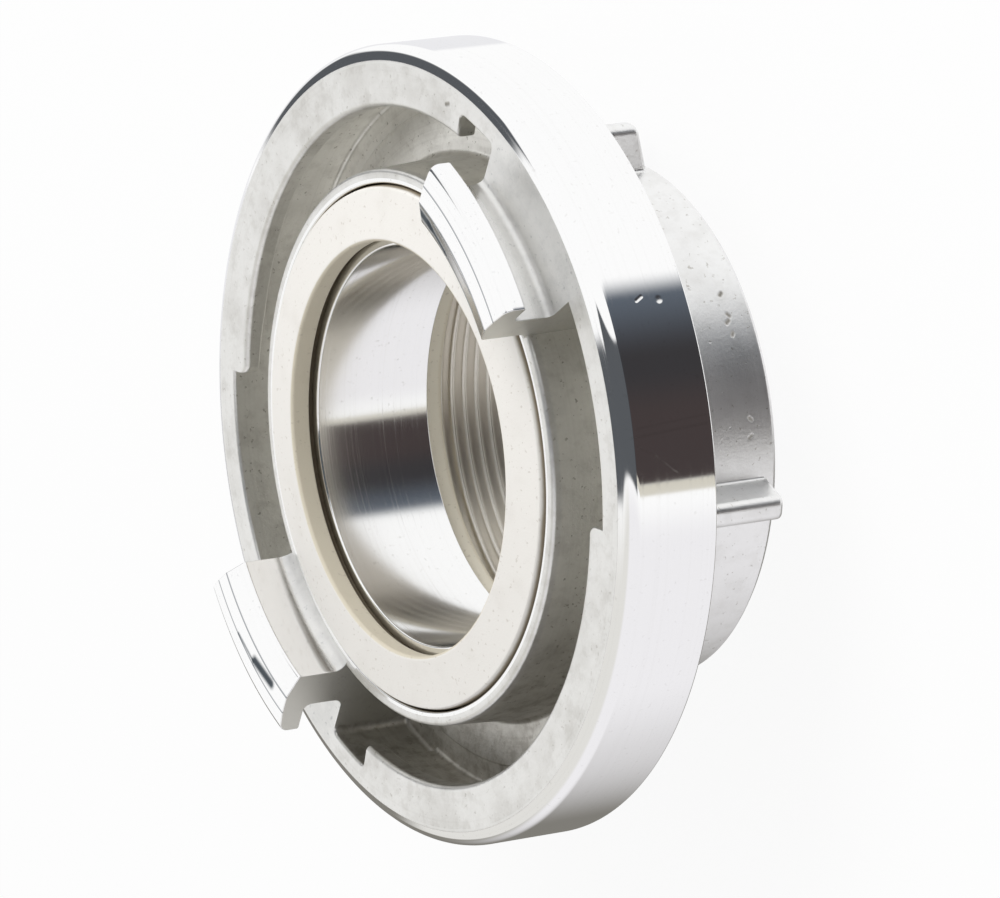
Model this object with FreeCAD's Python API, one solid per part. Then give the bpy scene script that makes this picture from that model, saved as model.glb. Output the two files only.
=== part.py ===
# Quarter turn claw coupling half with a female pipe thread.
#
# One forged and turned aluminium body carries, from back to front, a threaded hub with four spanner
# lugs, a wide outer ring, and on its face two hooked claws and a recess that runs behind two lips.
# A rubber face seal sits in the collar round the waterway, and a flat gasket lies at the bottom of
# the thread. Two halves of this one shape are pushed together and turned by a quarter turn: the
# claws of each go in at the windows of the other and hook behind its lips.
#
# All sizes are in millimetres. +Z is the axis and points to the front, Z = 0 is the hub's rear
# face, +Y is up and +X is right when the front is looked at. Angles are in degrees and run
# clockwise from the top in that view, like the hands of a clock.

import FreeCAD
import Part
import os
from math import acos, cos, radians, sin, sqrt, tan


# Hub with the female pipe thread. The thread's ridges are left out: the wall stands at their crests.

thread_crest_radius = 36.113
thread_height = 1.479
thread_mouth_chamfer = 1.5
thread_depth = 19.4
relief_gap = 0.35
relief_width = 4.0
shoulder_width = 4.613
hub_length = 25.0
hub_wall = 3.9
hub_rear_chamfer = 0.8

# Waterway, and the collar with the seat of the face seal

bore_tube_wall = 1.9
seat_width = 8.1
seat_depth = 6.0
seat_undercut_depth = 0.65
seat_undercut_height = 2.2
collar_rim_wall = 2.2
collar_rise = 1.0
collar_taper = 0.9
collar_rim_bevel = 0.7
bore_ledge_drop = 1.4

# Outer ring

ring_width = 15.2
ring_wall = 6.6
ring_rear_chamfer = 0.9
face_rise = 1.0
face_bevel_width = 2.5
flange_thickness = 3.1

# Claws: the neck, the hooked nose and the crowned tip

claw_start_deg = 36.8
claw_end_deg = 67.0
claw_setback = 0.7
claw_height = 10.8
claw_foot_fillet = 2.0
claw_neck = 6.2
claw_groove_width = 6.9
claw_groove_fillet = 1.3
claw_nose_reach = 4.8
claw_nose_front_round = 1.7
claw_inner_bevel_width = 4.0
claw_inner_bevel_drop = 1.5
claw_outer_bevel_width = 3.9
claw_outer_bevel_drop = 0.45

# Recess behind the lips, the windows that let the other half's claws in, and the pockets that end
# their travel

recess_running_gap = 1.0
recess_step_width = 4.3
recess_step_depth = 0.3
window_gap = 0.6
pocket_relief = 0.9
pocket_corner_round = 1.2

# Lips, each running clockwise from a window to a pocket

lip_start_deg = 103.0
lip_end_deg = 206.5
lip_thickness = 3.2
lip_running_gap = 1.8
lip_edge_offset = 1.0
lip_edge_bevel = 1.1
lip_corner_round = 1.6
lip_ramp_deg = 12.0
lip_ramp_rise = 0.7

# Spanner lugs on the hub

lug_count = 4
lug_first_deg = 16.8
lug_height = 7.2
lug_root_width = 5.2
lug_top_width = 3.6
lug_top_round = 1.5
lug_foot_fillet = 0.6
lug_rear_gap = 1.4
lug_rear_slope = 2.0
lug_sink = 1.5

# Face seal

seal_clearance = 0.1
seal_rise_outer = 0.6
seal_rise_inner = 1.9
seal_shoulder_width = 0.4
seal_lip_overhang = 0.9
seal_lip_wall = 3.1
seal_lip_draft = 0.35
seal_groove_depth = 3.0
seal_groove_drop = 1.0
seal_groove_mouth = 2.2

# Thread gasket

gasket_setback = 1.3
gasket_clearance = 0.2
gasket_thickness = 3.5


# Radii that follow from the sizes above, from the waterway outwards

bore_radius = thread_crest_radius - shoulder_width
thread_root_radius = thread_crest_radius + thread_height
seat_inner_radius = bore_radius + bore_tube_wall
seat_outer_radius = seat_inner_radius + seat_width
collar_rim_radius = seat_outer_radius + collar_rim_wall
collar_foot_radius = collar_rim_radius + collar_taper
claw_inner_radius = collar_rim_radius + claw_setback
claw_groove_radius = claw_inner_radius + claw_neck
claw_nose_radius = claw_groove_radius + claw_nose_reach
window_radius = claw_nose_radius + window_gap
recess_wall_radius = claw_nose_radius + recess_running_gap
recess_step_radius = recess_wall_radius - recess_step_width
pocket_radius = recess_wall_radius + pocket_relief
lip_edge_radius = claw_groove_radius + lip_running_gap
ring_radius = recess_wall_radius + ring_wall
hub_radius = thread_root_radius + hub_wall
relief_radius = thread_root_radius + relief_gap
lug_radius = hub_radius + lug_height

# Heights that follow from the sizes above, from the rear forwards

ring_rear_z = hub_length
ring_front_z = ring_rear_z + ring_width
face_z = ring_front_z + face_rise
recess_floor_z = ring_rear_z + flange_thickness
outer_floor_z = recess_floor_z - recess_step_depth
lip_underside_z = face_z - lip_thickness
collar_rim_z = face_z + collar_rise
bore_ledge_z = face_z - bore_ledge_drop
seat_floor_z = collar_rim_z - seat_depth
claw_nose_rear_z = face_z + claw_groove_width
claw_tip_z = face_z + claw_height

# Added to a cutting solid's end so that it runs clear of the face that it opens

cut_margin = 1.0

origin = FreeCAD.Vector(0, 0, 0)
axis = FreeCAD.Vector(0, 0, 1)


def at_angle(angle_deg, radius, z=0.0):
    """Point at a clock angle, a radius and a height."""
    angle = radians(angle_deg)
    return FreeCAD.Vector(radius * sin(angle), radius * cos(angle), z)


def outline_face(corners, place):
    """Flat face inside a closed outline.

    Each corner is (u, v), (u, v, radius) for a corner that is rounded with a true arc, or
    (u, v, size, "bevel") for one that is cut off straight. place turns (u, v) into a point.
    """
    joins = []
    for i, corner in enumerate(corners):
        here = FreeCAD.Vector(corner[0], corner[1], 0)
        if len(corner) == 2:
            joins.append((here, None, here))
            continue
        before = corners[i - 1]
        after = corners[(i + 1) % len(corners)]
        back = (FreeCAD.Vector(before[0], before[1], 0) - here).normalize()
        ahead = (FreeCAD.Vector(after[0], after[1], 0) - here).normalize()
        if len(corner) == 4:
            joins.append((here + back * corner[2], None, here + ahead * corner[2]))
            continue
        half_angle = acos(back.dot(ahead)) / 2
        inward = (back + ahead).normalize()
        reach = corner[2] / tan(half_angle)
        middle = here + inward * (corner[2] / sin(half_angle) - corner[2])
        joins.append((here + back * reach, middle, here + ahead * reach))
    edges = []
    for i, (start, middle, end) in enumerate(joins):
        if middle is not None:
            arc = Part.Arc(place(start.x, start.y), place(middle.x, middle.y), place(end.x, end.y))
            edges.append(arc.toShape())
        elif (end - start).Length > 1e-6:
            edges.append(Part.makeLine(place(start.x, start.y), place(end.x, end.y)))
        following = joins[(i + 1) % len(joins)][0]
        if (following - end).Length > 1e-6:
            edges.append(Part.makeLine(place(end.x, end.y), place(following.x, following.y)))
    return Part.Face(Part.Wire(edges))


def turned(corners, start_deg=0.0, sweep_deg=360.0):
    """Solid made by turning a (radius, z) outline clockwise about the axis from start_deg."""
    face = outline_face(corners, lambda r, z: at_angle(start_deg, r, z))
    return face.revolve(origin, axis, -sweep_deg)


def both_sides(solid):
    """The solid and its twin, half a turn further on."""
    twin = solid.copy()
    twin.rotate(origin, axis, 180)
    return [solid, twin]


def upright_edges(solid, wanted):
    """Straight edges that run along the axis, where their place in plan passes a test."""
    found = []
    for edge in solid.Edges:
        first, last = edge.Vertexes[0].Point, edge.Vertexes[-1].Point
        in_plan = FreeCAD.Vector(first.x, first.y, 0)
        shift = last - first
        if abs(shift.z) > 1e-6 and shift.cross(axis).Length < 1e-6 and wanted(in_plan):
            found.append(edge)
    return found


def turned_blank():
    """Hub, ring, collar and open recess as one turned shape, before lips, claws and lugs."""
    relief_start_z = thread_depth - relief_width - (relief_radius - thread_crest_radius)
    undercut_radius = seat_outer_radius + seat_undercut_depth
    undercut_top_z = seat_floor_z + seat_undercut_height
    thread_side = [
        (thread_root_radius, 0),
        (thread_crest_radius, thread_mouth_chamfer),
        (thread_crest_radius, relief_start_z),
        (relief_radius, thread_depth - relief_width),
        (relief_radius, thread_depth),
    ]
    bore_side = [
        (bore_radius, thread_depth),
        (bore_radius, bore_ledge_z),
    ]
    seal_seat = [
        (seat_inner_radius, bore_ledge_z),
        (seat_inner_radius, seat_floor_z),
        (undercut_radius, seat_floor_z),
        (undercut_radius, undercut_top_z),
        (seat_outer_radius, undercut_top_z + seat_undercut_depth),
        (seat_outer_radius, collar_rim_z),
    ]
    recess = [
        (collar_rim_radius, collar_rim_z, collar_rim_bevel, "bevel"),
        (collar_foot_radius, recess_floor_z),
        (recess_step_radius, recess_floor_z),
        (recess_step_radius + recess_step_depth, outer_floor_z),
        (recess_wall_radius, outer_floor_z),
        (recess_wall_radius, lip_underside_z),
        (window_radius, lip_underside_z),
        (window_radius, face_z),
    ]
    outside = [
        (ring_radius - face_bevel_width, face_z),
        (ring_radius, ring_front_z),
        (ring_radius, ring_rear_z + ring_rear_chamfer),
        (ring_radius - ring_rear_chamfer, ring_rear_z),
        (hub_radius, ring_rear_z),
        (hub_radius, hub_rear_chamfer),
        (hub_radius - hub_rear_chamfer, 0),
    ]
    return turned(thread_side + bore_side + seal_seat + recess + outside)


def lip():
    """One lip: a turned rim with its edge a little off centre, kept between window and pocket."""
    middle_of_ring_wall = (recess_wall_radius + ring_radius) / 2
    rim = turned([
        (lip_edge_radius, lip_underside_z),
        (lip_edge_radius, face_z, lip_edge_bevel, "bevel"),
        (middle_of_ring_wall, face_z),
        (middle_of_ring_wall, lip_underside_z),
    ])
    rim.translate(at_angle(lip_end_deg, lip_edge_offset))
    inner_limit = lip_edge_radius - lip_edge_offset - cut_margin
    sector = turned([
        (inner_limit, lip_underside_z),
        (inner_limit, face_z),
        (pocket_radius, face_z),
        (pocket_radius, lip_underside_z),
    ], lip_start_deg, lip_end_deg - lip_start_deg)
    solid = rim.common(sector)
    solid = solid.cut(entry_ramp())
    corner = at_angle(lip_start_deg, lip_edge_radius)
    at_corner = upright_edges(solid, lambda p: (p - corner).Length < 2 * lip_edge_offset)
    return solid.makeFillet(lip_corner_round, at_corner)


def entry_ramp():
    """Thin wedge off the underside of a lip where the other half's claw comes in."""
    end_deg = lip_start_deg + lip_ramp_deg
    run = recess_wall_radius * tan(radians(lip_ramp_deg))
    outward = at_angle(end_deg, 1)
    to_window = at_angle(end_deg - 90, 1)
    start = at_angle(end_deg, lip_edge_radius - lip_edge_offset - cut_margin)

    def place(along, z):
        return start + to_window * along + FreeCAD.Vector(0, 0, z)

    wedge = outline_face([
        (0, lip_underside_z),
        (run, lip_underside_z + lip_ramp_rise),
        (run, lip_underside_z - cut_margin),
        (0, lip_underside_z - cut_margin),
    ], place).extrude(outward * (recess_wall_radius - lip_edge_radius + 4 * cut_margin))
    reach = Part.makeCylinder(recess_wall_radius, ring_width, FreeCAD.Vector(0, 0, recess_floor_z))
    return wedge.common(reach)


def claw():
    """One claw on the solid root that closes the recess below it."""
    foot_radius = claw_inner_radius - claw_foot_fillet
    inner_edge_z = claw_tip_z - claw_inner_bevel_drop
    outer_edge_z = claw_tip_z - claw_outer_bevel_drop
    root_radius = (recess_wall_radius + ring_radius) / 2
    root_z = (ring_rear_z + outer_floor_z) / 2
    return turned([
        (foot_radius, collar_rim_z),
        (claw_inner_radius, collar_rim_z, claw_foot_fillet),
        (claw_inner_radius, inner_edge_z),
        (claw_inner_radius + claw_inner_bevel_width, claw_tip_z),
        (claw_nose_radius - claw_outer_bevel_width, claw_tip_z),
        (claw_nose_radius, outer_edge_z, claw_nose_front_round),
        (claw_nose_radius, claw_nose_rear_z),
        (claw_groove_radius, claw_nose_rear_z, claw_groove_fillet),
        (claw_groove_radius, face_z, claw_groove_fillet),
        (root_radius, face_z),
        (root_radius, root_z),
        (foot_radius, root_z),
    ], claw_start_deg, claw_end_deg - claw_start_deg)


def pocket():
    """Space that is cut between the end of a lip and the claw that follows it."""
    start_deg = lip_end_deg - 180
    inner = (collar_foot_radius + recess_step_radius) / 2
    space = turned([
        (inner, outer_floor_z),
        (inner, face_z + cut_margin),
        (pocket_radius, face_z + cut_margin),
        (pocket_radius, outer_floor_z),
    ], start_deg, claw_start_deg - start_deg)
    outer_corners = upright_edges(space, lambda p: p.Length > pocket_radius - pocket_corner_round)
    return space.makeFillet(pocket_corner_round, outer_corners)


def lug(angle_deg):
    """One spanner lug: a bar with a filleted foot, let into the hub, with a sloping rear end."""
    outward = at_angle(angle_deg, 1)
    across = at_angle(angle_deg + 90, 1)
    bottom = hub_radius - lug_sink
    length = ring_rear_z + flange_thickness / 2 - lug_rear_gap
    half_foot = lug_root_width / 2 + lug_foot_fillet
    foot_level = sqrt(hub_radius ** 2 - half_foot ** 2)

    def plan(u, r):
        return across * u + outward * r + axis * lug_rear_gap

    bar = outline_face([
        (-half_foot, bottom),
        (-half_foot, foot_level),
        (-lug_root_width / 2, foot_level, lug_foot_fillet),
        (-lug_top_width / 2, lug_radius, lug_top_round),
        (lug_top_width / 2, lug_radius, lug_top_round),
        (lug_root_width / 2, foot_level, lug_foot_fillet),
        (half_foot, foot_level),
        (half_foot, bottom),
    ], plan).extrude(axis * length)

    def side(r, z):
        return outward * r - across * half_foot * 2 + axis * z

    slope = outline_face([
        (bottom, lug_rear_gap),
        (lug_radius + cut_margin, lug_rear_gap + lug_rear_slope),
        (lug_radius + cut_margin, lug_rear_gap - cut_margin),
        (bottom, lug_rear_gap - cut_margin),
    ], side).extrude(across * half_foot * 4)
    return bar.cut(slope)


def coupling_body():
    """The forged and turned body as one solid."""
    lugs = [lug(lug_first_deg + i * 360 / lug_count) for i in range(lug_count)]
    added = both_sides(lip()) + both_sides(claw()) + lugs
    solid = turned_blank().fuse(added)
    solid = solid.cut(both_sides(pocket()))
    return solid.removeSplitter()


def face_seal():
    """Rubber ring with a thick foot in the seat and a lip that stands free towards the waterway."""
    foot_radius = seat_outer_radius + seat_undercut_depth - seal_clearance
    foot_top_z = seat_floor_z + seat_undercut_height - seal_clearance
    outer_radius = seat_outer_radius - seal_clearance
    inner_radius = seat_inner_radius + seal_clearance
    lip_radius = seat_inner_radius - seal_lip_overhang
    lip_top_z = collar_rim_z + seal_rise_inner
    lip_bottom_z = lip_top_z - seal_lip_wall
    return turned([
        (inner_radius, seat_floor_z),
        (foot_radius, seat_floor_z),
        (foot_radius, foot_top_z),
        (outer_radius, foot_top_z + seat_undercut_depth),
        (outer_radius, collar_rim_z - seal_shoulder_width),
        (outer_radius - seal_shoulder_width, collar_rim_z + seal_rise_outer),
        (lip_radius, lip_top_z),
        (lip_radius + seal_lip_draft, lip_bottom_z),
        (lip_radius + seal_groove_depth, lip_bottom_z - seal_groove_drop),
        (inner_radius, lip_bottom_z - seal_groove_mouth),
    ])


def thread_gasket():
    """Flat ring against the shoulder at the bottom of the thread."""
    inner = bore_radius + gasket_setback
    outer = relief_radius - gasket_clearance
    bottom_z = thread_depth - gasket_thickness
    return turned([
        (inner, bottom_z),
        (outer, bottom_z),
        (outer, thread_depth),
        (inner, thread_depth),
    ])


os.makedirs("parts", exist_ok=True)
pieces = {
    "coupling_body": coupling_body(),
    "face_seal": face_seal(),
    "thread_gasket": thread_gasket(),
}
for name, solid in pieces.items():
    solid.exportStep("parts/" + name + ".step")
    box = solid.BoundBox
    print(name, "valid", solid.isValid(), "solids", len(solid.Solids), "faces", len(solid.Faces))
    print("  volume", round(solid.Volume), "x", round(box.XLength, 2), "y", round(box.YLength, 2),
          "z", round(box.ZMin, 2), round(box.ZMax, 2))
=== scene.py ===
# %% [markdown]
# A fire hose coupling half, dressed for its photograph
# The real thing is one aluminium forging, turned bright on the outside and in the bore and left
# blasted on its face and hub, with a cream rubber seal and a flat gasket. The CAD solids already
# have its size and shape. Here every surface that is seen is made again, finely enough for mirror
# finishes, and gets its metal or rubber. Polished metal shows each facet of a coarse mesh, so a
# fine surface that is worked out from formulas is the right way for all of it.

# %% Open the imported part
import bpy
import numpy as np
from mathutils import Matrix, Vector


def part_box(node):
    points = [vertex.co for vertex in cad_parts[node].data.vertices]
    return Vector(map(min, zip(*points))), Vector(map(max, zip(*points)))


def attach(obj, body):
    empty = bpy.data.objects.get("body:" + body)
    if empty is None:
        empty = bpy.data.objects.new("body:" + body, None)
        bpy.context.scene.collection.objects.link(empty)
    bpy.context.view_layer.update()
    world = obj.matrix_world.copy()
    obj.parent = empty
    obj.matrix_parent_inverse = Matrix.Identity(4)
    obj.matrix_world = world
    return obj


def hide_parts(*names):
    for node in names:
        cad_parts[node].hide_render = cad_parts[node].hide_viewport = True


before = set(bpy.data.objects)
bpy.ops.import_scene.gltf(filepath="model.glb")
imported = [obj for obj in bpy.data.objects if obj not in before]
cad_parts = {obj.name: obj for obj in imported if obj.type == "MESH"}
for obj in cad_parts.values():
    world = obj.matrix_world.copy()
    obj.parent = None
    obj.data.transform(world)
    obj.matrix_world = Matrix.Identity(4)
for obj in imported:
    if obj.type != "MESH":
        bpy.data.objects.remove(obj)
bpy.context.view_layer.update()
print("nodes:", sorted(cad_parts))

# %% [markdown]
# Sizes
# A turned part is described by radii and heights, and a forged face by clock angles. They are kept
# here in millimetres, as a drawing gives them, and meshes are brought to metres at the last step.
# Heights are measured from the threaded end, and angles clockwise from the top of the face. In a
# name, _r is a radius and _z is a height. Everything on the face comes twice: the second claw,
# window, lip and pocket are the first ones after a half turn.

# %% Sizes of the body, in millimetres and degrees
MM, PER_METRE = 0.001, 1000
ring_r, ring_rear_z, ring_front_z, face_z = 63.0, 25.0, 40.2, 41.2
ring_foot_r, bevel_r, rim_mid_r, face_mid_r = 42.502, 60.5, 42.3, 60.1
hub_r, hub_chamfer, lug_top_r, lug_root_r = 41.492, 0.8, 48.692, 41.4
lug_first, lug_rear_gap, lug_rear_slope, lug_sink = 16.8, 1.4, 2.0, 1.5
thread_crest_r, thread_height, thread_pitch, thread_mouth = 36.113, 1.479, 25.4 / 11, 1.5
relief_r, relief_start_z, relief_full_z = 37.942, 13.57, 15.4
bore_r, bore_ledge_z, shoulder_z = 31.5, 39.8, 19.4
seat_inner_r, seat_outer_r, seat_floor_z = 33.4, 41.5, 36.2
rim_z, collar_r, collar_foot_r = 42.2, 43.7, 44.6
floor_z, outer_floor_z, step_r, pocket_step_r = 28.1, 27.8, 52.1, 48.35
wall_r, window_r, pocket_r, pocket_corner = 56.4, 56.0, 57.3, 1.2
lip_under_z, lip_r, lip_shift, lip_start_r, lip_corner = 38.0, 52.4, 1.0, 52.17, 1.6
lip_start, lip_end, lip_ramp, lip_ramp_rise = 103.0, 206.5, 12.0, 0.7
claw_start, claw_end, half_turn = 36.8, 67.0, 180.0
claw_in_r, claw_crease_in, claw_crease_out = 44.4, 48.4, 51.45
claw_groove_r, claw_mid_r, claw_nose_r = 50.6, 50.0, 55.4
claw_rear_z, claw_tip_z = 48.1, 52.0
low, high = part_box("coupling_body")
print("ring %.1f mm wide, %.1f mm over the claws" % ((high.x - low.x) / MM, high.z / MM))

# %% [markdown]
# Surfaces from arrays
# A lathe turns one outline into a whole part. The same can be done with numpy: the outline gives
# the rows of a grid, the clock angle gives its columns, and one array holds every point. Corners
# are broken with true arcs, because a sharp edge catches no light.

# %% Outlines with rounded corners


def outline(corners, least_round=0.06, guard=0.08):
    """Points of an outline along straight runs and arcs.

    Each corner is (r, z) or (r, z, radius). A rounded corner is the circle that touches both of its
    runs: it starts and ends radius / tan(half the corner's angle) away from the corner, and a point
    just before and after it, at most the guard's length away, keeps the runs flat. The numbers may
    be arrays over the clock angle. Then all outlines have the same number of points, and the answer
    has one column for each.
    """
    width = max(np.size(number) for corner in corners for number in corner)
    places = [np.stack([np.broadcast_to(np.asarray(n, float), (width,)) for n in corner[:2]], 1)
              for corner in corners]
    parts = [places[0][None]]
    for before, corner, here, after in zip(places, corners[1:-1], places[1:], places[2:]):
        radius = np.asarray(corner[2] if len(corner) > 2 else least_round, float)
        radius = np.broadcast_to(radius, (width,))[:, None]
        back_run = np.linalg.norm(before - here, axis=1)[:, None]
        ahead_run = np.linalg.norm(after - here, axis=1)[:, None]
        back, ahead = (before - here) / back_run, (after - here) / ahead_run
        half = np.arccos(np.clip((back * ahead).sum(1), -1, 1))[:, None] / 2
        inward = (back + ahead) / np.linalg.norm(back + ahead, axis=1)[:, None]
        centre = here + inward * radius / np.sin(half)
        reach = radius / np.tan(half)
        steps = 9 if radius.max() > 0.3 else 4
        t = np.linspace(0, 1, steps)[:, None, None]
        chord = (here + back * reach) * (1 - t) + (here + ahead * reach) * t - centre
        arc = centre + radius * chord / np.linalg.norm(chord, axis=2)[..., None]
        guard_back = here + back * (reach + np.minimum(guard, 0.2 * back_run))
        guard_ahead = here + ahead * (reach + np.minimum(guard, 0.2 * ahead_run))
        parts += [guard_back[None], arc, guard_ahead[None]]
    parts.append(places[-1][None])
    points = np.concatenate(parts)
    one_outline = all(np.ndim(number) == 0 for corner in corners for number in corner)
    return points[:, 0] if one_outline else points


def refine(points, longest):
    """The same outline with extra points, so that no run is longer than the given length."""
    runs = np.linalg.norm(np.diff(points, axis=0), axis=1)
    counts = np.maximum(1, np.ceil(runs / longest).astype(int))
    along = np.concatenate([i + np.arange(n) / n for i, n in enumerate(counts)] + [[len(runs)]])
    return np.stack([np.interp(along, np.arange(len(points)), points[:, k]) for k in (0, 1)], 1)


print("a corner of radius 1 becomes", len(outline([(0, 0), (5, 0, 1), (5, 5)])), "points")

# %% Grids into meshes


def around(radius, z, angle):
    """Points x = radius sin(angle), y = radius cos(angle), z, with the angle in degrees."""
    a = np.radians(angle)
    return np.stack(np.broadcast_arrays(radius * np.sin(a), radius * np.cos(a), z), axis=-1)


def grid_faces(columns, rows, closed=False, loop=False, first=0):
    """Four-cornered faces of a grid whose point (column i, row j) has number first + i rows + j.

    closed joins the last column to the first, and loop joins the last row to the first.
    """
    i = np.arange(columns if closed else columns - 1)[:, None]
    j = np.arange(rows if loop else rows - 1)[None, :]
    i_next, j_next = (i + 1) % columns, (j + 1) % rows
    corners = [i * rows + j, i * rows + j_next, i_next * rows + j_next, i_next * rows + j]
    return (np.stack([c.ravel() for c in corners], axis=1) + first).tolist()


def new_object(name, data):
    """An object that shows a mesh, a lamp or a camera in the scene."""
    made = bpy.data.objects.new(name, data)
    bpy.context.scene.collection.objects.link(made)
    return made


def make_piece(name, points, faces, material, node, finish=0.0, flat=0):
    """A mesh from points in millimetres, riding on the part and standing for a CAD node.

    finish says how bright the metal is at each point: 0 is blasted, 1 is freshly turned. flat is
    how many of the last faces are flat ends, which aren't shaded smooth.
    """
    mesh = bpy.data.meshes.new(name)
    mesh.from_pydata((points * MM).tolist(), [], faces)
    smooth = np.ones(len(faces), bool)
    smooth[len(faces) - flat:] = False
    mesh.polygons.foreach_set("use_smooth", smooth)
    layer = mesh.attributes.new("finish", "FLOAT", "POINT")
    layer.data.foreach_set("value", np.ascontiguousarray(
        np.broadcast_to(np.asarray(finish, np.float32), (len(points),))))
    mesh.materials.append(material)
    piece = new_object(name, mesh)
    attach(piece, "root")
    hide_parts(node)
    print("%-24s %7d points %7d faces" % (name, len(points), len(faces)))
    return piece


def lathe(name, profile, material, node, finish=0.0, columns=720, loop=False):
    """A full turn of an outline: each of its points (r, z) becomes a ring of points.

    An outline that runs up the outside and inward over the front has its faces pointing out.
    """
    angles = np.arange(columns)[:, None] * 360 / columns
    points = around(profile[None, :, 0], profile[None, :, 1], angles).reshape(-1, 3)
    values = np.broadcast_to(finish, (columns, len(profile))).ravel()
    faces = grid_faces(columns, len(profile), closed=True, loop=loop)
    return make_piece(name, points, faces, material, node, values)


print("around(10, 0, 90) is", around(10.0, 0.0, 90.0))

# %% [markdown]
# Shader maths in plain expressions
# A procedural finish is arithmetic on positions and noises, so it stays sharp at any distance and
# needs no unwrapping, which a photograph of scratched metal would. Written node by node it is hard to
# read, so a small class wraps a socket and turns + - * / into Math nodes. Every other node comes
# from one method that takes its type, its settings and the values or links of its sockets.

# %% A class that writes nodes


class Value:
    """A socket that can be used in an expression."""

    def __init__(self, kit, socket):
        self.kit, self.socket = kit, socket

    def __add__(self, other): return self.kit.maths("ADD", self, other)
    def __sub__(self, other): return self.kit.maths("SUBTRACT", self, other)
    def __mul__(self, other): return self.kit.maths("MULTIPLY", self, other)
    def __truediv__(self, other): return self.kit.maths("DIVIDE", self, other)
    def __radd__(self, other): return self.kit.maths("ADD", other, self)
    def __rsub__(self, other): return self.kit.maths("SUBTRACT", other, self)
    def __rmul__(self, other): return self.kit.maths("MULTIPLY", other, self)
    def __rtruediv__(self, other): return self.kit.maths("DIVIDE", other, self)


class Kit:
    """The nodes of one material or of the world."""

    def __init__(self, owner):
        owner.use_nodes = True
        self.tree = owner.node_tree
        self.tree.nodes.clear()

    def node(self, kind, settings=None, out=0, **inputs):
        """One node: its settings are set first, then its sockets get numbers, colours or links."""
        made = self.tree.nodes.new(kind)
        for key, value in (settings or {}).items():
            setattr(made, key, value)
        for key, value in inputs.items():
            self.feed(made, key, value)
        return Value(self, made.outputs[out]) if made.outputs else made

    def feed(self, made, key, value):
        """Sets or links one socket, either by its name, as in Base_Color, or its number, as in _0."""
        socket = made.inputs[int(key[1:]) if key.startswith("_") else key.replace("_", " ")]
        if isinstance(value, Value):
            self.tree.links.new(value.socket, socket)
        else:
            socket.default_value = value

    def other(self, value, out):
        """Another output of the node that a value comes from."""
        return Value(self, value.socket.node.outputs[out])

    def maths(self, operation, *values, clamp=False):
        """A calculation on numbers."""
        inputs = {"_%d" % i: value for i, value in enumerate(values)}
        return self.node("ShaderNodeMath", {"operation": operation, "use_clamp": clamp}, **inputs)

    def vector(self, operation, *values, out="Vector"):
        """A calculation on positions. Its answer is a vector, or a number at the output Value."""
        inputs = {"_%d" % i: value for i, value in enumerate(values)}
        return self.node("ShaderNodeVectorMath", {"operation": operation}, out=out, **inputs)

    def smooth(self, value, start, end):
        """0 below start, 1 above end, and an S-shaped rise between them; start may be the larger."""
        return self.node("ShaderNodeMapRange", {"interpolation_type": "SMOOTHSTEP"}, Value=value,
                         From_Min=start, From_Max=end)

    def mix(self, factor, first, second):
        """A blend of two colours. The node has sockets for other kinds too, so these are numbered."""
        settings = {"data_type": "RGBA"}
        return self.node("ShaderNodeMix", settings, out=2, _0=factor, _6=first, _7=second)

    def noise(self, where, scale, detail=3.0, roughness=0.5):
        """A cloudy pattern from 0 to 1, with about scale patches to the metre."""
        return self.node("ShaderNodeTexNoise", Vector=where, Scale=scale, Detail=detail,
                         Roughness=roughness)

    def place(self):
        """A point's position in metres, and its y, z and distance from the axis in millimetres."""
        where = self.node("ShaderNodeTexCoord", out="Object")
        x = self.node("ShaderNodeSeparateXYZ", Vector=where)
        y, z = self.other(x, "Y"), self.other(x, "Z")
        radius = self.maths("SQRT", x * x + y * y)
        return where, y * PER_METRE, z * PER_METRE, radius * PER_METRE


print("shader helpers ready")

# %% [markdown]
# The aluminium and its finishes
# All of the body is one metal, so all its materials come from one recipe and differ in how it was
# worked and in the painted shade that some of them carry. Turning leaves fine lines round the axis
# and a bright face. Blasting leaves a grain of small dimples that spreads the reflection. The
# attribute called finish, which every piece carries, says which of the two holds at each point: 0 is
# blasted and 1 is turned.

# %% One recipe for worked aluminium


def wear_and_shade_marks(kit, where, marks):
    """Wear and depth at a point from marks, each (start, end, width, wear, depth) in millimetres.

    A mark is a straight cut. The nearest place on it is start + share * (end - start), with share
    kept from 0 to 1, and the mark fades over its width from there. Start = end makes a small dent.
    The marks add up: each darkens and roughens the metal, some as wear and some as painted shade, and
    depth lowers its surface.
    """
    total, hollow = 0.0, 0.0
    for start, end, width, wear_and_shade, depth in marks:
        start, end = start * MM, end * MM + 1e-6
        run = end - start
        offset = kit.vector("SUBTRACT", where, tuple(start))
        share = kit.maths("MULTIPLY", kit.vector("DOT_PRODUCT", offset, tuple(run), out="Value"),
                          1 / float(run @ run), clamp=True)
        along = kit.node("ShaderNodeVectorMath", {"operation": "SCALE"}, _0=tuple(run), Scale=share)
        distance = kit.vector("LENGTH", kit.vector("SUBTRACT", offset, along), out="Value")
        touched = kit.smooth(distance, width * MM, 0)
        total, hollow = touched * wear_and_shade + total, touched * depth + hollow
    return total, hollow


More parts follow.
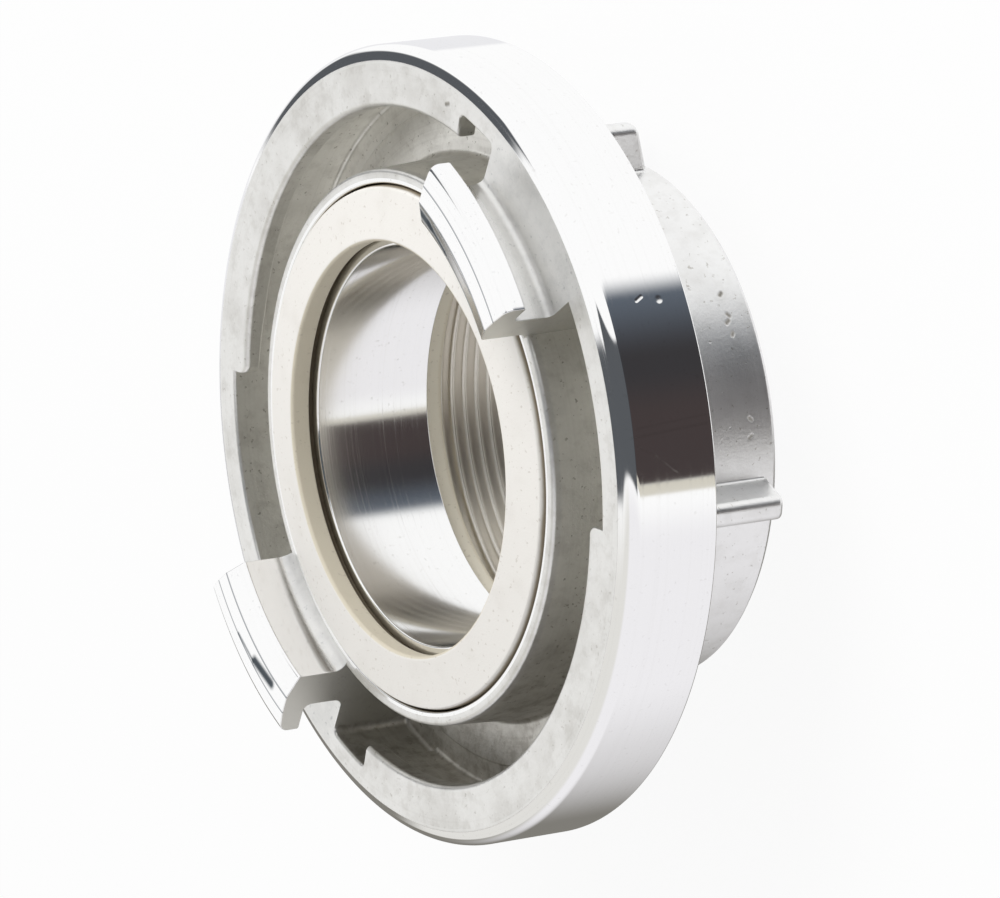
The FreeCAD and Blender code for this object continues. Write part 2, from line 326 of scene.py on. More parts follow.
def aluminium(name, tone=(0.93, 0.93, 0.92), blasted=0.50, turned=None, lines=0.05, line_pitch=0.5,
              grain=0.35, grain_size=0.45, pits=0.0, stain=0.1, stain_and_shade_tone=(0.50, 0.48, 0.44),
              streaks=0.0, scratches=0.0, dust=0.0, bright=None, deep_tone=None, deep_z=(41.1, 40.4),
              crease_shade_radii=(), marks=()):
    """Worked aluminium. Lengths are in millimetres and strengths are from 0 to 1.

    Lines are a noise that changes with radius and height and hardly along the turn. Grain is a
    noise about as coarse as the grit, and pits are the few places where a coarser noise dips.
    Stain is a cloudy discolouring of the blasted parts, and dust its small specks, which lie on
    turned metal too. Streaks are stained lines and scratches are rough ones. bright is the colour
    where the metal is turned, and deep_tone its colour below the heights deep_z, where it also gets
    dust specks and a painted shade that grows towards the bottom of the picture. Creases are the
    radii where two turned faces meet, and each gets a painted line of shade. The colour is
    metal x (1 - s) + the stain tone x s, where s is the sum of all of these: stains, dust, pits and
    wear, and the painted shade.
    """
    material = bpy.data.materials.new(name)
    kit = Kit(material)
    where, y, z, radius = kit.place()
    finish = kit.node("ShaderNodeAttribute", {"attribute_name": "finish"}, out="Fac")
    drift = kit.noise(where, 25.0, 1.0)
    across = kit.node("ShaderNodeCombineXYZ", X=radius / line_pitch, Y=z / line_pitch, Z=drift * 0.5)
    line = kit.noise(across, 1.0, 4.0, 0.62)
    faint = kit.noise(where, PER_METRE / 9.0, 3.0)
    cloud = kit.noise(where, PER_METRE / 2.8, 3.0, 0.6)
    dimple = kit.noise(where, PER_METRE / grain_size, 3.0, 0.6)
    pit = kit.smooth(kit.noise(where, PER_METRE / 1.3, 1.5, 0.4), 0.27, 0.20)
    speck = kit.smooth(kit.noise(where, PER_METRE / 0.9, 2.0, 0.6), 0.64, 0.74)
    wear_and_shade, hollow = wear_and_shade_marks(kit, where, marks)
    # This sum holds real stains, dust, pits, streaks and wear, and also painted shade: the crease
    # lines, the lower recess and the claws' shade lines among the marks.
    soil_and_shade = ((kit.smooth(faint, 0.42, 0.72) + kit.smooth(cloud, 0.46, 0.70) + speck * 1.5
             + (dimple - 0.45)) * stain * (1.05 - finish)
            + speck * dust + pit * pits * 0.8 + kit.smooth(line, 0.50, 0.72) * streaks + wear_and_shade)
    # painted shade: a dark line along each crease radius, on turned metal only
    for crease in crease_shade_radii:
        off_crease = kit.maths("ABSOLUTE", radius - crease)
        soil_and_shade = soil_and_shade + kit.smooth(off_crease, 0.22, 0.08) * finish * 0.7
    metal = (*tone, 1)
    if bright:
        metal = kit.mix(finish, metal, (*bright, 1))
    if deep_tone:
        depth = kit.smooth(z + (cloud - 0.5) * 0.4, *deep_z)
        # painted shade: the recess darkens towards the bottom of the picture, -y; the specks added
        # with it are dust
        painted_low_shade = kit.smooth(y, -26, -46) * (cloud + 0.1)
        metal = kit.mix(depth, metal, (*deep_tone, 1))
        soil_and_shade = soil_and_shade + depth * (speck * 0.4 + painted_low_shade)
    # Stains, wear and painted shade all blend the colour towards the one stain tone.
    colour = kit.mix(kit.maths("MINIMUM", soil_and_shade, 1.0), metal, (*stain_and_shade_tone, 1))
    turned = blasted if turned is None else turned
    rough = (blasted + (turned - blasted) * finish
             + ((line - 0.5) * 0.10 + (faint - 0.5) * 0.12) * (1.15 - finish)
             + kit.smooth(line, 0.56, 0.70) * scratches + wear_and_shade * 0.5)
    height = ((line * lines * finish + dimple * grain * (1 - finish)) * 0.06
              - pit * pits * 0.06 - hollow)
    normal = kit.node("ShaderNodeBump", Strength=1.0, Distance=0.001, Height=height)
    shader = kit.node("ShaderNodeBsdfPrincipled", Base_Color=colour, Metallic=1.0,
                      Roughness=kit.maths("MAXIMUM", rough, 0.05), Normal=normal)
    kit.node("ShaderNodeOutputMaterial", Surface=shader)
    print("material", name, len(kit.tree.nodes), "nodes")
    return material


print("aluminium recipe ready")

# %% [markdown]
# Marks of use and painted shade lines
# New metal looks false. This coupling has a few scratches and a dent on its ring, nicks on the hub,
# a chip on the face, and dark marks on the claws, most of them painted shade lines along the upper
# claw's chamfer and tip. Each is placed by radius, height and clock angle. A mark darkens the metal,
# makes it rougher and, where it is deep, dents it.

# %% Scratches, dents, streaks and painted shade lines


def dent(radius, z, angle, width, wear_and_shade=0.3, depth=0.06):
    """A small round dent: a mark that starts and ends at the same place."""
    place = around(radius, z, angle)
    return place, place, width, wear_and_shade, depth


def scratch(start, end, width, wear_and_shade=0.2, depth=0.0):
    """A straight mark between two places, each given as radius, height and clock angle."""
    return around(*start), around(*end), width, wear_and_shade, depth


ring_marks = [scratch((ring_r, 39.9, 89.0), (ring_r, 26.0, 88.3), 0.4, 0.16),
              scratch((ring_r, 38.1, 87.8), (ring_r, 26.0, 87.1), 0.35, 0.10),
              scratch((ring_r, 38.5, 90.2), (ring_r, 35.4, 91.9), 0.3, 0.14),
              scratch((ring_r, 35.4, 91.9), (ring_r, 32.0, 94.4), 0.3, 0.14),
              scratch((ring_r, 33.9, 70.3), (ring_r, 32.9, 69.8), 0.4, 0.3, 0.04),
              dent(ring_r, 30.0, 70.5, 0.8)]
hub_marks = [scratch((hub_r, z, angle), (hub_r, z + rise, angle + 0.5), 0.55, 0.9, 0.05)
             for z, rise, angle in ((4.5, 0.4, 61.9), (4.8, -0.3, 66.9), (4.9, 0.5, 68.4),
                                    (4.8, 0.2, 71.2), (4.8, -0.4, 89.8), (4.6, 0.5, 93.6))]
face_marks = [scratch((57.2, face_z, 22.3), (57.6, face_z, 23.1), 0.5, 0.8, 0.1),
              dent(step_r, floor_z, 322.9, 0.8, 0.9, 0.1)]
# The long lines on the upper claw, near 46 and 48 mm, are painted shade along its inner chamfer and
# tip; the two marks on the lower claw's tip darken it, and one is dented.
claw_marks_and_shade_lines = [scratch((51.3, claw_tip_z, 236.0), (50.9, claw_tip_z, 229.5), 0.5, 0.7),
              scratch((50.4, claw_tip_z, 229.0), (49.6, claw_tip_z, 222.5), 1.4, 1.3, 0.12),
              scratch((46.5, 51.3, 37.6), (46.3, 51.2, 40.5), 2.0, 1.3),
              scratch((46.4, 51.2, 40.5), (45.5, 50.9, 47.0), 1.1, 1.2),
              scratch((45.5, 50.9, 47.0), (44.9, 50.7, 61.0), 0.5, 0.9),
              scratch((48.0, 51.9, 43.0), (48.0, 51.9, 59.0), 0.5, 0.5)]
print(len(ring_marks + hub_marks + face_marks + claw_marks_and_shade_lines), "marks")

# %% [markdown]
# Seven finishes of one metal
# The ring, the bore and the claws' tips are turned, and the rest of the outside is blasted. The
# recess is blasted too, but duller, with painted shade towards the bottom of the picture, the
# thread is worn, and the claws' end faces get a darker tone. The claws' stain colour is a dark
# blue-grey, for their painted shade lines.

# %% Seven finishes of one metal
face_look = dict(tone=(0.85, 0.845, 0.825), blasted=0.40, grain=0.8, grain_size=0.6, stain=0.22,
                 streaks=0.12, dust=0.12)
# On the claws the stain tone is a dark blue-grey, the colour of their painted shade lines and creases.
claw_look = dict(face_look, stain=0.08, streaks=0.03, stain_and_shade_tone=(0.13, 0.15, 0.17))
fresh_cut = (0.97, 0.97, 0.97)
turned_ring = aluminium("turned_ring", tone=face_look["tone"], bright=fresh_cut,
                        blasted=0.40, turned=0.055, lines=0.05, line_pitch=0.6, grain=0.6,
                        stain=0.10, streaks=0.03, scratches=0.05, dust=0.12, marks=ring_marks)
blasted_hub = aluminium("blasted_hub", tone=(0.94, 0.94, 0.935), blasted=0.37, grain=0.4,
                        grain_size=0.5, pits=0.4, stain=0.10, dust=0.5, marks=hub_marks)
# Below the face the recess takes deep_tone and, in the recipe, a painted shade towards the bottom of
# the picture.
forged_face = aluminium("forged_face", pits=0.3, deep_tone=(0.95, 0.94, 0.90), marks=face_marks,
                        **face_look)
machined_bore = aluminium("machined_bore", tone=(0.95, 0.95, 0.945), blasted=0.2, turned=0.12,
                          lines=0.02, line_pitch=0.3, stain=0.10, streaks=0.04, scratches=0.12,
                          dust=0.2)
worn_thread = aluminium("worn_thread", tone=(0.80, 0.77, 0.71), blasted=0.34, stain=0.25)
machined_claw = aluminium("machined_claw", bright=fresh_cut, turned=0.10, lines=0.05,
                          line_pitch=0.6, crease_shade_radii=(claw_crease_out, claw_crease_in),
                          marks=claw_marks_and_shade_lines, **claw_look)
# The claws' end faces get this darker, duller tone.
dark_claw_end = aluminium("dark_claw_end", tone=(0.66, 0.65, 0.60), blasted=0.5, grain=0.6, stain=0.2,
                     dust=0.1)

# %% [markdown]
# Rubber
# The face seal is pale nitrile rubber: cream, matt, with a few specks of dust in its skin and tan
# where the water has stained its inner wall. Its groove under the lip and its outer edge by the
# collar are painted dark brown, painted shade where rubber meets metal. The flat gasket's cream is
# painted light, raised to make up for the dim light deep in the bore. Both are a diffuse surface
# with a little gloss and a fine bump.

# %% Rubber for the seal and the gasket


def rubber(name, skin, aged, dark, inner_r, outer_r, low_z):
    """Rubber that is aged inside inner_r and below low_z, and painted dark outside outer_r and deeper
    still, as painted shade.

    Lengths are in millimetres. A noise shifts each border a little, so that none is a clean circle.
    """
    material = bpy.data.materials.new(name)
    kit = Kit(material)
    where, _, z, radius = kit.place()
    cloud = kit.noise(where, 160.0, 3.0)
    mould = kit.noise(where, 2400.0, 2.0, 0.6)
    speck = kit.smooth(kit.noise(where, 1300.0, 2.0, 0.5), 0.64, 0.72)
    edge = (cloud - 0.5) * 0.5
    inside = kit.maths("MAXIMUM", kit.smooth(radius + edge * 0.3, inner_r + 0.3, inner_r),
                       kit.smooth(z + edge, low_z, low_z - 0.6))
    outside = kit.smooth(radius + edge * 0.3, outer_r - 0.2, outer_r)
    below = kit.smooth(z, low_z - 0.9, low_z - 1.3)
    dusty = speck * 0.3 + kit.smooth(cloud, 0.5, 0.8) * 0.08
    colour = kit.mix(inside, (*skin, 1), (*aged, 1))
    # painted shade: dark brown outside outer_r and below low_z, in the gaps where the rubber meets the
    # metal
    colour = kit.mix(kit.maths("MAXIMUM", outside, below), colour, (*dark, 1))
    colour = kit.mix(dusty, colour, (0.42, 0.36, 0.28, 1))
    normal = kit.node("ShaderNodeBump", Strength=0.5, Distance=0.00006, Height=mould)
    shader = kit.node("ShaderNodeBsdfPrincipled", Base_Color=colour, Normal=normal,
                      Roughness=0.55 + (cloud - 0.5) * 0.2)
    kit.node("ShaderNodeOutputMaterial", Surface=shader)
    print("material", name, len(kit.tree.nodes), "nodes")
    return material


cream_seal = rubber("cream_seal", skin=(0.93, 0.905, 0.86), aged=(0.74, 0.68, 0.55),
                    dark=(0.30, 0.25, 0.18), inner_r=32.8, outer_r=41.15, low_z=41.6)
# painted light: the gasket's cream is raised to make up for the dim light deep in the bore
gasket_painted_light = rubber("gasket_painted_light", skin=(0.90, 0.85, 0.72), aged=(0.80, 0.74, 0.60),
                     dark=(0.45, 0.40, 0.30), inner_r=30.0, outer_r=40.0, low_z=16.8)

# %% [markdown]
# The ring and the hub
# The ring is turned bright all over and its front edge is bevelled. Behind it the hub goes down
# to the threaded end. Both are plain turned shapes, so each is one outline carried round the
# axis. The finish changes from turned to blasted where the bevel meets the face.

# %% Outer ring and hub
ring_profile = refine(outline([
    (ring_foot_r, ring_rear_z), (ring_r, ring_rear_z, 0.35), (ring_r, ring_front_z, 2.2),
    (bevel_r, face_z, 0.5), (face_mid_r, face_z)]), 1.5)
on_face = (ring_profile[:, 0] < bevel_r + 0.07) & (ring_profile[:, 1] > face_z - 0.2)
ring_finish = np.where(on_face, 0.0, 1.0)
lathe("ring_outside", ring_profile, turned_ring, "coupling_body", ring_finish, 900)

hub_profile = refine(outline([
    (hub_r - hub_chamfer, 0.0), (hub_r, hub_chamfer, 0.3), (hub_r, ring_rear_z, 1.0),
    (ring_foot_r, ring_rear_z)]), 1.0)
lathe("hub_outside", hub_profile, blasted_hub, "coupling_body", 0.0)

# %% [markdown]
# Spanner lugs
# Four lugs on the hub take a hook spanner. Each is a bar with a rounded top and a filleted foot,
# and its rear end slopes. A box with a Bevel modifier has no fillet at its foot, so the bar is a
# closed outline carried along the axis. Near the rear end the outline shrinks along a quarter
# circle, which rounds the edge, and one flat face closes it.

# %% Four spanner lugs


def closed_outline(corners):
    """A rounded outline that comes back to its start. Its first corner lies on a straight run."""
    return outline(list(corners) + [corners[0]])[:-1]


def shrink(profile, by, closed=True):
    """The profile moved inward along its normals, which lie left of its direction of travel."""
    ahead = np.roll(profile, -1, axis=0) - np.roll(profile, 1, axis=0)
    if not closed:
        ahead[0], ahead[-1] = profile[1] - profile[0], profile[-1] - profile[-2]
    ahead = ahead / np.linalg.norm(ahead, axis=1)[:, None]
    return profile + np.stack([-ahead[:, 1], ahead[:, 0]], axis=1) * by


def edge_steps(radius, count=7):
    """Places along a rounded end edge: how far in from the end, and how much the outline shrinks."""
    a = np.radians(np.linspace(0, 90, count))
    return radius * (1 - np.cos(a)), radius * (1 - np.sin(a))


def spanner_lugs():
    """Points, sides and end faces of the four lugs.

    A lug's outline is (across, radius), seen along the axis. A lug that stands at the angle a puts
    that point at x = radius sin(a) + across cos(a) and y = radius cos(a) - across sin(a).
    """
    foot, sunk = lug_root_r - 0.08, lug_root_r - 1.0
    plan = closed_outline([
        (0.0, sunk), (3.3, sunk), (3.3, foot), (2.62, lug_root_r, 0.6), (1.8, lug_top_r, 1.5),
        (-1.8, lug_top_r, 1.5), (-2.62, lug_root_r, 0.6), (-3.3, foot), (-3.3, sunk)])
    depth, shrunk = edge_steps(1.0)
    up_the_lug = (plan[:, 1] - hub_r + lug_sink) / (lug_top_r - hub_r + 2.0)
    rear, front = lug_rear_gap + lug_rear_slope * up_the_lug, ring_rear_z + 0.6
    rows = [np.column_stack([shrink(plan, s), rear + d]) for d, s in zip(depth, shrunk)]
    rows += [np.column_stack([plan, rear * (1 - t) + front * t]) for t in (0.08, 0.5, 1.0)]
    across, radius, z = np.moveaxis(np.stack(rows), -1, 0)
    count, size = z.shape
    points, faces, caps = [], [], []
    for k in range(4):
        a = np.radians(lug_first + 90 * k)
        first = k * count * size
        last = first + (count - 1) * size
        bar = np.stack([radius * np.sin(a) + across * np.cos(a),
                        radius * np.cos(a) - across * np.sin(a), z], axis=-1)
        points.append(bar.reshape(-1, 3))
        faces += grid_faces(count, size, loop=True, first=first)
        caps += [list(range(first, first + size)), list(range(last, last + size))[::-1]]
    return np.concatenate(points), faces, caps


lug_points, lug_faces, lug_caps = spanner_lugs()
make_piece("spanner_lugs", lug_points, lug_faces + lug_caps, blasted_hub,
           "coupling_body", 0.0, flat=len(lug_caps))

# %% [markdown]
# The thread
# A G 2 1/2 pipe thread has eleven ridges to the inch, each a rounded 55 degree tooth. It is a
# helix, so a lathe outline can't make it. But its radius is a plain function of height and angle,
# so it is still one grid: the tooth's height depends on how many turns the point is along.

# %% Internal pipe thread


def thread_surface(columns=560, rows=150):
    """Radius = crest + tooth, where tooth = height x (1 - cos(360 x turns)) / 2.

    turns = z / pitch + angle / 360. At the mouth and at the relief a cone cuts the teeth away, so
    the radius there is the largest of tooth, mouth cone and relief cone.
    """
    angle = np.arange(columns)[:, None] * 360 / columns
    z = np.linspace(shoulder_z - 0.05, 0.0, rows)[None, :]
    turns = z / thread_pitch + angle / 360
    tooth = thread_crest_r + thread_height * (1 - np.cos(2 * np.pi * turns)) / 2
    mouth = thread_crest_r + thread_mouth - z + 0 * angle
    relief = thread_crest_r + np.clip(z - relief_start_z, 0, relief_full_z - relief_start_z)
    relief = np.where(z > relief_full_z, relief_r, relief) + 0 * angle
    radius = np.maximum(np.maximum(tooth * (z < relief_full_z), mouth), relief)
    return around(radius, z, angle).reshape(-1, 3), grid_faces(columns, rows, closed=True)


thread_points, thread_faces = thread_surface()
make_piece("pipe_thread", thread_points, thread_faces, worn_thread,
           "coupling_body", 0.8)
end_profile = np.array([(thread_crest_r + thread_mouth, 0.0), (39.0, 0.0), (hub_r - hub_chamfer, 0.0)])
lathe("threaded_end", end_profile, machined_bore, "coupling_body", 0.9)

# %% [markdown]
# The waterway and the seat of the seal
# Inside the collar lies a groove for the seal, then a thin tube, then the smooth bore. The outline
# runs inward over the collar's rim, down into the seat, up the tube and down the bore, so its
# faces point into the open space.

# %% Waterway, tube and seat
waterway_profile = refine(outline([
    (rim_mid_r, rim_z), (seat_outer_r, rim_z, 0.35), (seat_outer_r, seat_floor_z, 0.1),
    (seat_inner_r, seat_floor_z, 0.1), (seat_inner_r, bore_ledge_z, 0.25),
    (bore_r, bore_ledge_z, 0.35), (bore_r, shoulder_z, 0.2), (relief_r, shoulder_z)]), 0.8)
lathe("waterway", waterway_profile, machined_bore, "coupling_body", 1.0, 900)

# %% [markdown]
# The recess with its lips, windows and pockets
# Half of the face works like this: a window lets the other half's claw in, the claw turns on behind
# a lip, and a pocket lets the tool run out. Seen along any one clock angle the recess is an outline
# with the same corners, and only their places change with the angle. So the corners are written as
# arrays over the angle, and one call rounds them all. Cutting the face with booleans would give the
# same shape, but with long thin triangles that show in the shine.

# %% The edge of window, lip and pocket


def sector_angles():
    """Clock angles of the columns from one claw to the other, close together at the corners."""
    last = claw_start + half_turn
    return np.unique(np.concatenate([
        [claw_end], np.linspace(claw_end + 0.02, lip_start - 0.1, 110),
        lip_start + np.array([-0.07, -0.04, 0.0, 0.03]),
        np.linspace(lip_start + 0.06, lip_start + 1.8, 22),
        np.linspace(lip_start + 2.0, lip_end - 0.1, 250),
        lip_end + np.array([-0.06, -0.03, 0.0, 0.03]),
        np.linspace(lip_end + 0.06, lip_end + 1.3, 16),
        np.linspace(lip_end + 1.5, last - 1.3, 20),
        np.linspace(last - 1.25, last - 0.02, 16), [last]]))


def recess_edge(angle):
    """Radius of the opening's edge.

    The window's edge is a circle about the axis. The lip's edge is a circle about a point that lies
    1 mm off the axis, so seen from the axis its radius is shift cos(d) + sqrt(r^2 - shift^2
    sin(d)^2), with d the angle from that point. A corner circle joins them, and two more close the
    pocket. Such a circle, of radius c about a point at the distance m, lies at m cos(f) -+
    sqrt(c^2 - m^2 sin(f)^2), with f the angle from its centre.
    """
    d = np.radians(angle - lip_end)
    lip = lip_shift * np.cos(d) + np.sqrt(lip_r ** 2 - (lip_shift * np.sin(d)) ** 2)
    centre_r = lip_start_r + lip_corner
    f = np.radians(angle - lip_start) - np.arcsin(lip_corner / centre_r)
    half_chord = np.sqrt(np.clip(lip_corner ** 2 - (centre_r * np.sin(f)) ** 2, 0, None))
    lip = np.where(f < 0, centre_r * np.cos(f) - half_chord, lip)
    centre_r = pocket_r - pocket_corner
    to_end = np.minimum(angle - lip_end, claw_start + half_turn - angle)
    g = np.radians(to_end) - np.arcsin(pocket_corner / centre_r)
    half_chord = np.sqrt(np.clip(pocket_corner ** 2 - (centre_r * np.sin(g)) ** 2, 0, None))
    pocket = np.where(g < 0, centre_r * np.cos(g) + half_chord, pocket_r)
    return np.select([angle < lip_start - 0.02, angle < lip_end + 0.01], [window_r, lip], pocket)


def recess_corners(angle):
    """The outline's corners at each clock angle, from the ring's face inward to the collar's rim."""
    edge = recess_edge(angle)
    is_lip = (angle > lip_start - 0.02) & (angle < lip_end + 0.01)
    in_pocket = angle > lip_end + 0.01
    under = lip_under_z + lip_ramp_rise * np.clip(1 - (angle - lip_start) / lip_ramp, 0, 1)
    wall = np.where(in_pocket, edge + 0.05, wall_r)
    step = np.where(in_pocket, pocket_step_r, step_r)
    return [(face_mid_r, face_z), (edge, face_z, np.where(is_lip, 0.9, 0.45)),
            (edge, under, np.where(is_lip, 0.3, 0.01)),
            (wall, under, np.where(is_lip, 0.5, 0.01)), (wall, outer_floor_z, 0.8),
            (step + 0.3, outer_floor_z, 0.15), (step, floor_z, 0.15),
            (collar_foot_r, floor_z, 1.0), (collar_r, rim_z, 0.7), (rim_mid_r, rim_z)]


angles = sector_angles()
edge = recess_edge(angles)
print("recess edge from %.2f to %.2f mm" % (edge.min(), edge.max()))

# %% Two sectors of recess
sector_r, sector_z = np.moveaxis(outline(recess_corners(angles)), -1, 0)
rows = len(sector_r)
sector_points = np.concatenate([
    around(sector_r.T, sector_z.T, (angles + turn)[:, None]).reshape(-1, 3)
    for turn in (0, half_turn)])
sector_faces = (grid_faces(len(angles), rows)
                + grid_faces(len(angles), rows, first=len(angles) * rows))
make_piece("recess_and_lips", sector_points, sector_faces, forged_face,
           "coupling_body", 0.0)

# %% [markdown]
# The claws
# Each claw is a hook that was turned with the ring and then cut off at both ends. It is an outline
# carried through thirty degrees, which a Screw modifier could also do, but not with these ends.
# They go down into the recess, so each end face is a flat polygon between the claw's outline and
# the recess's outline. The edges are rounded in the same way as the lugs' are.

# %% A claw's outline and its ends
claw_profile = refine(outline([
    (face_mid_r, face_z), (claw_groove_r, face_z, 1.3), (claw_groove_r, claw_rear_z, 1.3),
    (claw_nose_r, claw_rear_z, 0.35), (claw_nose_r, claw_tip_z - 0.45, 1.6),
    (claw_crease_out + 0.05, claw_tip_z, 0.6), (claw_crease_in, claw_tip_z, 0.6),
    (claw_in_r, claw_tip_z - 1.5, 0.5), (claw_in_r, rim_z, 2.0), (rim_mid_r, rim_z)]), 0.7)
edge_depth, edge_shrink = edge_steps(0.12)
stands_free = np.clip((claw_profile[:, 1] - rim_z - 0.1) / 0.8, 0, 1)[:, None]


def claw_columns(middle_count=60):
    """Angles and outlines of the columns of one claw, from its pocket end to its window end.

    The rounding's depth is a length, and depth / mean radius is the angle that it takes up.
    """
    inset = np.degrees(edge_depth / claw_mid_r)
    ends = [claw_profile + (shrink(claw_profile, s, closed=False) - claw_profile) * stands_free
            for s in edge_shrink[:-1]]
    middle = np.linspace(claw_start + inset[-1], claw_end - inset[-1], middle_count)
    columns = np.concatenate([claw_start + inset[:-1], middle, (claw_end - inset[:-1])[::-1]])
    return columns, np.stack(ends + [claw_profile] * middle_count + ends[::-1])


def end_cap(outline_corners, recess_angle, claw_angle, first, reverse):
    """Points and polygon of an end face: the claw's outline, then back along the recess's outline.

    The recess's outline is the one next to that end, at recess_angle, drawn at claw_angle.
    """
    below = outline(recess_corners(np.array([recess_angle])))[1:-1, 0]
    cap = outline_corners + list(range(first, first + len(below)))[::-1]
    return around(below[:, 0], below[:, 1], claw_angle), cap[::-1] if reverse else cap


# %% Both claws and their ends
claw_angles, claw_outlines = claw_columns()
columns, rows = claw_outlines.shape[:2]
claw_points, claw_faces, claw_caps = [], [], []
first = 0
for turn in (0, half_turn):
    claw_points.append(around(claw_outlines[..., 0], claw_outlines[..., 1],
                              (claw_angles + turn)[:, None]).reshape(-1, 3))
    claw_faces += grid_faces(columns, rows, first=first)
    pocket_end = list(range(first, first + rows))
    window_end = list(range(first + (columns - 1) * rows, first + columns * rows))
    first += columns * rows
    for corners, recess_angle, claw_angle, reverse in (
            (pocket_end, claw_start + half_turn, claw_start + turn, False),
            (window_end, claw_end, claw_end + turn, True)):
        points, cap = end_cap(corners, recess_angle, claw_angle, first, reverse)
        claw_points.append(points)
        claw_caps.append(cap)
        first += len(points)
claw_points = np.concatenate(claw_points)
claw_finish = np.clip((claw_points[:, 2] - rim_z - 0.8) / 2, 0, 1)
claws = make_piece("claws", claw_points, claw_faces + claw_caps, machined_claw,
                   "coupling_body", claw_finish, flat=len(claw_caps))
claws.data.materials.append(dark_claw_end)
for polygon in claws.data.polygons[len(claw_faces):]:
    polygon.material_index = 1

# %% [markdown]
# Seal and gasket
# The seal has a thick foot in its seat and a lip that reaches in over the waterway, where the water
# presses it tight. The gasket is a flat ring that the pipe's end presses against. Nothing on either
# changes with the clock angle, so both are closed outlines carried round the axis.

# %% Face seal and thread gasket
seal_in_r, seal_out_r, seal_body_r = seat_inner_r + 0.1, seat_outer_r - 0.1, 41.2
gasket_in_r, gasket_out_r, gasket_z = 32.8, 37.74, 15.9
seal_profile = closed_outline([
    (37.0, seat_floor_z), (seal_out_r, seat_floor_z, 0.2), (seal_out_r, 38.3, 0.2),
    (seal_body_r, 38.95, 0.1), (seal_body_r, 41.9, 0.2), (40.9, 42.85, 0.35), (32.5, 44.05, 0.55),
    (32.8, 40.6, 0.3), (35.5, 39.95, 0.3), (seal_in_r, 38.8, 0.15), (seal_in_r, seat_floor_z, 0.2)])
gasket_profile = closed_outline([
    (35.0, gasket_z), (gasket_out_r, gasket_z, 0.25), (gasket_out_r, shoulder_z, 0.1),
    (gasket_in_r, shoulder_z, 0.1), (gasket_in_r, gasket_z, 0.4)])
lathe("face_seal_ring", seal_profile, cream_seal, "face_seal", loop=True)
lathe("gasket_ring", gasket_profile, gasket_painted_light, "thread_gasket", loop=True)

# %% [markdown]
# The floor and the studio
# The coupling stands on its threaded end on a white sheet. The metal is polished, so what it shows
# is the room: a white tent with one black card at the right, and dim gaps low behind and at the
# left. The tent could be a sphere round the set, but the world does the same without a mesh: the
# cards are soft-edged areas of it that only reflections see.

# %% Camera
# The two angles and the aim were found from the round edges in the photograph. The camera looks
# along -back, and the picture's sides follow right and up.
camera_rise, camera_turn, camera_distance = np.radians(30.4219), np.radians(4.054), 1.2
level = np.cos(camera_rise)
back = Vector((level * np.cos(camera_turn), level * np.sin(camera_turn), np.sin(camera_rise)))
up = back.cross(Vector((1, 0, 0))).normalized()
right = up.cross(back)
aim = Vector((0, 0, ring_front_z * MM)) + right * 0.0130655 - up * 0.0003644
camera = new_object("camera", bpy.data.cameras.new("camera"))
view_axes = Matrix((right, up, back)).transposed().to_4x4()
camera.matrix_world = Matrix.Translation(aim + back * camera_distance) @ view_axes
camera.data.sensor_width, camera.data.lens = 36.0, 276.916
bpy.context.scene.camera = camera
print("camera at", [round(v, 4) for v in camera.location],
      "axis seen at %.1f degrees" % np.degrees(back.angle(Vector((0, 0, 1)))))

# %% Floor
# The floor looks white to the camera and shows in no reflection, but it keeps the shadow.
floor_mesh = bpy.data.meshes.new("floor")
floor_mesh.from_pydata([(-4, -4, 0), (4, -4, 0), (4, 4, 0), (-4, 4, 0)], [], [(0, 1, 2, 3)])
floor = new_object("floor", floor_mesh)
floor_paper = bpy.data.materials.new("white_paper")
kit = Kit(floor_paper)
seen = kit.node("ShaderNodeLightPath", out="Is Camera Ray")
paper = kit.node("ShaderNodeBsdfDiffuse", Color=(0.95, 0.95, 0.95, 1))
glow = kit.node("ShaderNodeEmission", Color=(1, 1, 1, 1), Strength=1.0)
lit = kit.node("ShaderNodeMixShader", _0=seen * 0.9, _1=paper, _2=glow)
kit.node("ShaderNodeOutputMaterial", Surface=lit)
floor_mesh.materials.append(floor_paper)
floor.visible_glossy = False
print("floor at z = 0")

# %% White tent with dark cards
world = bpy.data.worlds.new("studio")
bpy.context.scene.world = world
kit = Kit(world)
direction = kit.node("ShaderNodeTexCoord")


def toward(axis):
    """How far the direction points along an axis, from -1 to 1."""
    return kit.vector("DOT_PRODUCT", direction, tuple(axis), out="Value")


def band(value, low, high, low_soft, high_soft):
    """1 between low and high, 0 outside, with soft ends."""
    return (kit.smooth(value, low - low_soft, low + low_soft)
            * kit.smooth(value, high + high_soft, high - high_soft))


IN_DEGREES = 57.29578
to_right, to_up, to_back = toward(right), toward(up), toward(back)
azimuth = kit.maths("ARCTAN2", to_right, to_back) * IN_DEGREES
height = kit.maths("ARCSINE", to_up) * IN_DEGREES
print("directions are measured from the camera: azimuth to the right, height upwards")

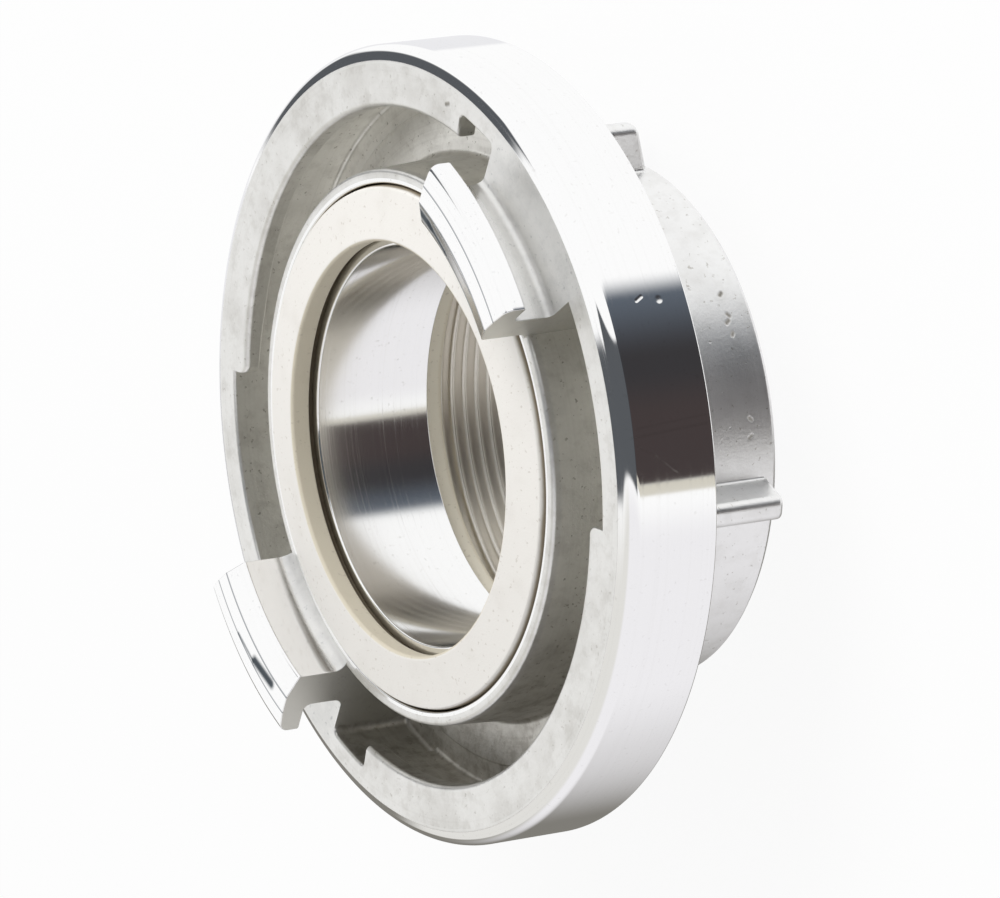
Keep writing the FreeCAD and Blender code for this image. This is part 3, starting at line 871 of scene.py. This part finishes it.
# %% Where the dark cards hang
right_card = band(azimuth, 42, 88, 1, 1) * band(height, -9.4, 38, 0.25, 3)
warm_edge = band(azimuth, 42, 88, 1, 1) * band(height, -12.2, -9.4, 0.3, 0.3)
over_horizon = height - (azimuth + 75) * 0.12 - kit.smooth(azimuth, -68, -40) * 12
horizon = (band(azimuth, -80, 44, 1, 1) * kit.smooth(height, -16, -14)
           * kit.smooth(over_horizon, 0.5, -1.5))
left_rear = (band(azimuth, -150, -86, 5, 2)
             * band(height - (azimuth + 158) * 0.13, 6.5, 22, 1, 3))
low_middle = kit.smooth(to_up, 0.06, -0.03) * kit.smooth(to_right, -0.36, -0.10)
low_left = kit.smooth(to_up, -0.10, -0.15) * kit.smooth(to_right, -0.60, -0.53)
low_rear = (kit.smooth(to_back, -0.15, -0.5) * kit.smooth(to_up, -0.95, -0.4)
            * kit.maths("MAXIMUM", low_middle, low_left))
dim_gaps = kit.maths("MAXIMUM", horizon, left_rear)
print("five dark areas: right card, its warm edge, horizon, left rear and low rear")

# %% Colours of the tent and of the cards
white, all_other_rays = (1, 1, 1, 1), (0.62, 0.62, 0.62, 1)
card_foot, card_middle, card_top = (
    (0.058, 0.046, 0.046, 1), (0.042, 0.040, 0.043, 1), (0.11, 0.13, 0.16, 1))
low_tone = kit.mix(kit.smooth(to_right, -0.3, -0.6), (0.87, 0.86, 0.88, 1), (0.76, 0.75, 0.72, 1))
tent = kit.mix(kit.smooth(height, -12, -24), white, low_tone)
tent = kit.mix(kit.smooth(to_back, -0.875, -0.895), tent, (0.84, 0.84, 0.86, 1))
tent = kit.mix(warm_edge, tent, (0.66, 0.63, 0.55, 1))
card_tone = kit.mix(kit.smooth(height, 6, 18), card_foot, card_middle)
card_tone = kit.mix(kit.smooth(height, 20, 38), card_tone, card_top)
room = kit.mix(right_card, tent, card_tone)
room = kit.mix(dim_gaps * 0.95, room, (0.045, 0.052, 0.062, 1))
room = kit.mix(low_rear * 0.88, room, (0.13, 0.12, 0.095, 1))
camera_ray = kit.node("ShaderNodeLightPath", out="Is Camera Ray")
reflected = kit.mix(kit.other(camera_ray, "Is Glossy Ray"), all_other_rays, room)
seen = kit.mix(camera_ray, reflected, white)
background = kit.node("ShaderNodeBackground", Color=seen, Strength=1.0)
kit.node("ShaderNodeOutputWorld", Surface=background)
print("world has", len(kit.tree.nodes), "nodes")

# %% Soft lamp


def softbox(name, side, distance, size, power):
    """A square area lamp that looks at the coupling and shows in no reflection.

    side says where it stands, as shares of right, up and towards the camera.
    """
    lamp = bpy.data.lights.new(name, "AREA")
    lamp.shape, lamp.size, lamp.energy = "SQUARE", size, power
    box = new_object(name, lamp)
    offset = (right * side[0] + up * side[1] + back * side[2]).normalized() * distance
    box.location = Vector((0, 0, 0.03)) + offset
    box.rotation_euler = offset.to_track_quat("Z", "Y").to_euler()
    box.visible_glossy = False
    print(name, [round(v, 3) for v in box.location])


softbox("softbox_left", (-0.6, 0.7, 0.5), distance=1.1, size=0.7, power=6.5)

# %% The picture's colour transform
bpy.context.scene.view_settings.view_transform = "Standard"
